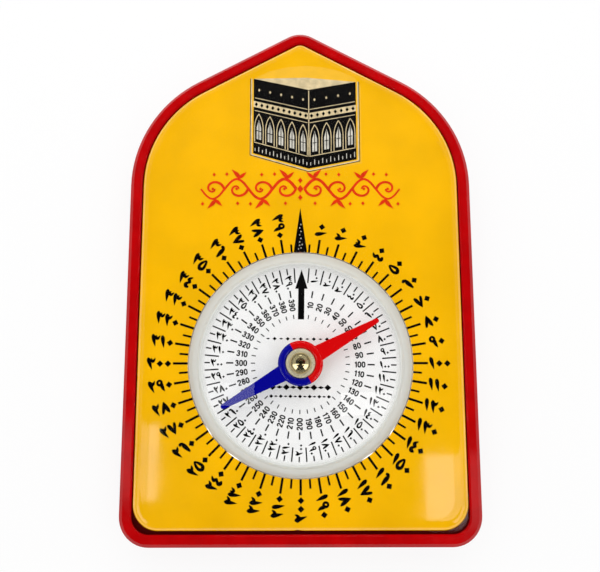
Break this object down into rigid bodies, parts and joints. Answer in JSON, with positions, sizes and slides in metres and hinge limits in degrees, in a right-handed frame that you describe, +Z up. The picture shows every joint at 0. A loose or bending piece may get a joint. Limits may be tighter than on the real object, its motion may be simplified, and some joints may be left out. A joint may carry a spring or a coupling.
{
  "type": "qibla compass",
  "caption": "Arched hand-held compass: moulded tray, printed card under a clear cover, and a domed capsule whose magnetic needle turns on a pointed pin over a numbered dial.",
  "frame": {"origin": "where the needle's axis meets the flat underside", "axes": "+Z up out of the dial along the needle's axis, +Y towards the pointed top of the case, +X to its right"},
  "size_m": [0.06, 0.09, 0.012],
  "materials": {
    "tray_plastic": "glossy moulded red plastic",
    "tape_foam": "matt mounting tape",
    "cup_plastic": "satin white plastic",
    "dial_paper": "smooth white printed paper",
    "pin_steel": "hardened and ground",
    "needle_paint": "gloss paint, one half red and one half blue",
    "collar_brass": "turned",
    "cap_metal": "polished pale plating",
    "crystal_clear": "clear polished plastic",
    "card_paper": "satin printed card",
    "cover_clear": "clear polished plastic"
  },
  "bodies": {
    "case": {"base_tray": "tray_plastic", "capsule_tape": "tape_foam", "capsule_cup": "cup_plastic", "dial_disc": "dial_paper", "pivot_pin": "pin_steel", "crystal": "crystal_clear", "face_card": "card_paper", "cover_plate": "cover_clear"},
    "needle": {"needle": "needle_paint", "needle_collar": "collar_brass", "needle_cap": "cap_metal"}
  },
  "joints": [
    {"name": "needle_spin", "type": "hinge", "parent": "case", "child": "needle", "pos_m": [0, 0, 0.0087], "axis": [0, 0, 1], "continuous": true}
  ]
}
